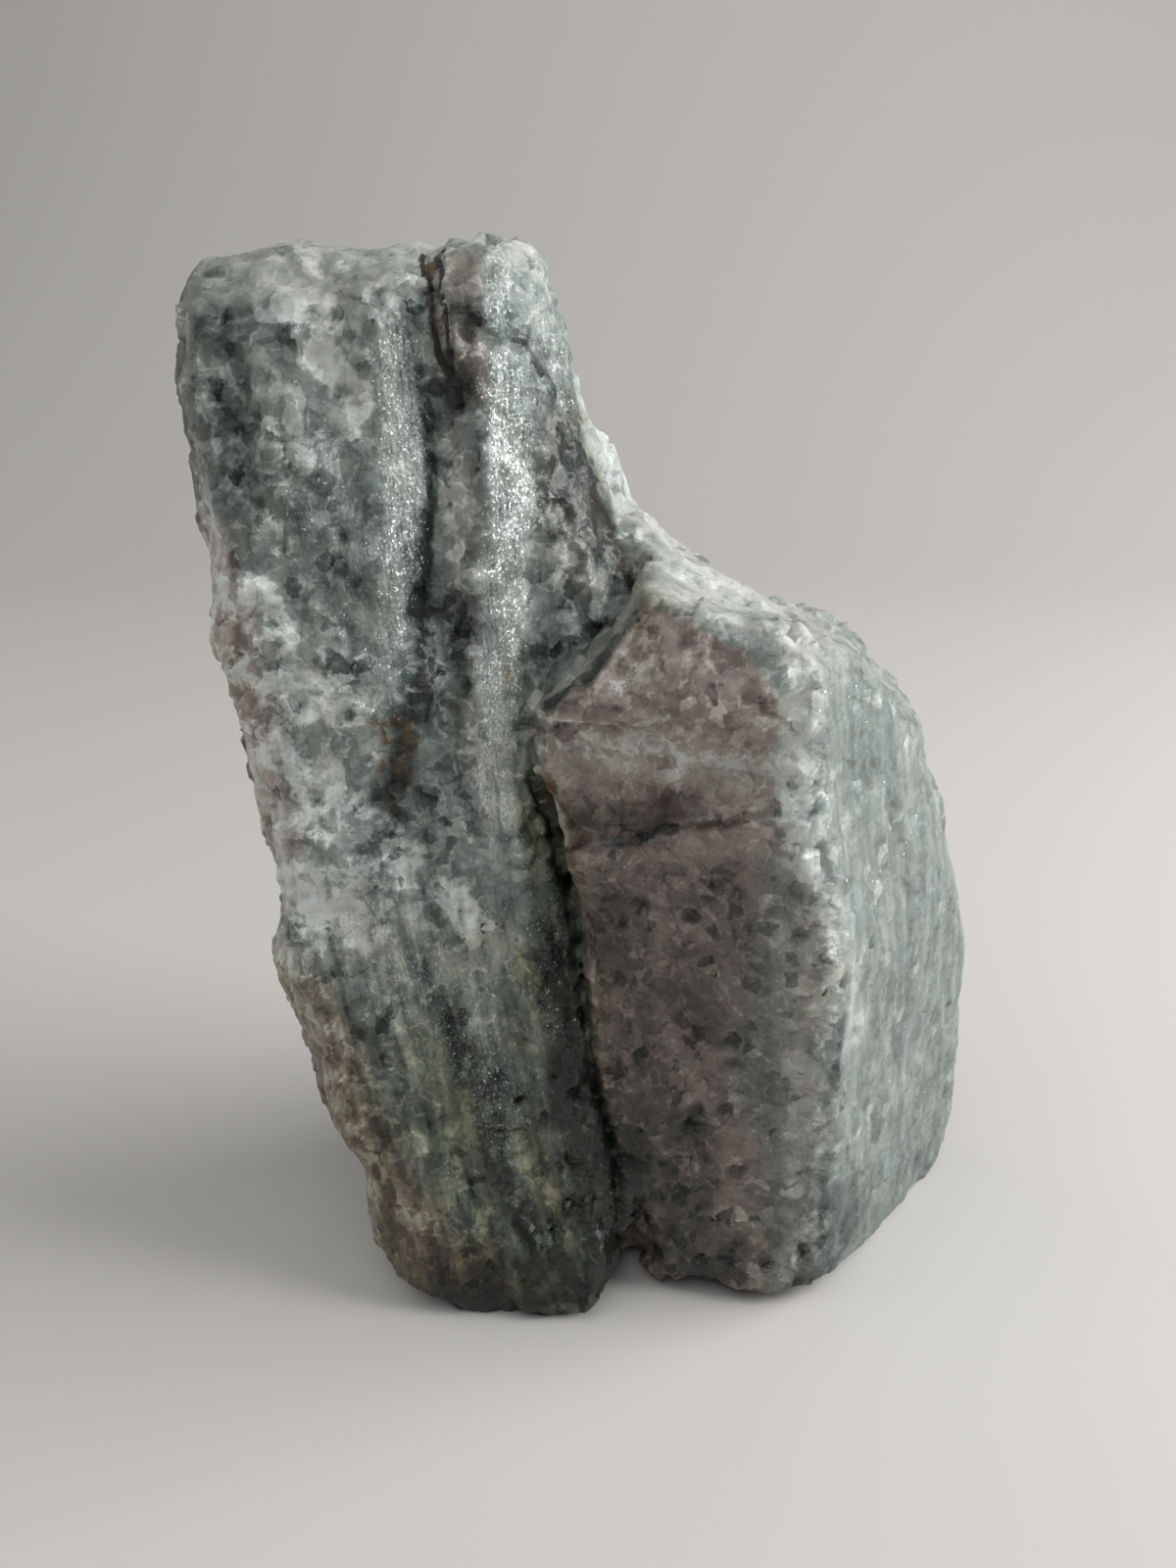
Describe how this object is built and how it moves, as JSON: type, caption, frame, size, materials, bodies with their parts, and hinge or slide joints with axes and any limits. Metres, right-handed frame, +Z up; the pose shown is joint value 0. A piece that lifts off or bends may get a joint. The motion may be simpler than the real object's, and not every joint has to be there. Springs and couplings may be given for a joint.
{
  "type": "raw aventurine stone",
  "caption": "Rough chunk of green quartz rock that stands on its broken foot: a tall slab leaning back, with a thicker, shorter block grown onto one side.",
  "frame": {"origin": "middle of the underside, on the surface the stone stands on", "axes": "+Z up, along the tall slab; -Y out of the broken front; +X towards the thicker block"},
  "size_m": [0.0932, 0.0476, 0.1191],
  "materials": {
    "aventurine": "broken surface of grainy green and grey quartz, slightly translucent, with glinting mica along the grain"
  },
  "bodies": {
    "root": {"stone": "aventurine"}
  },
  "joints": []
}
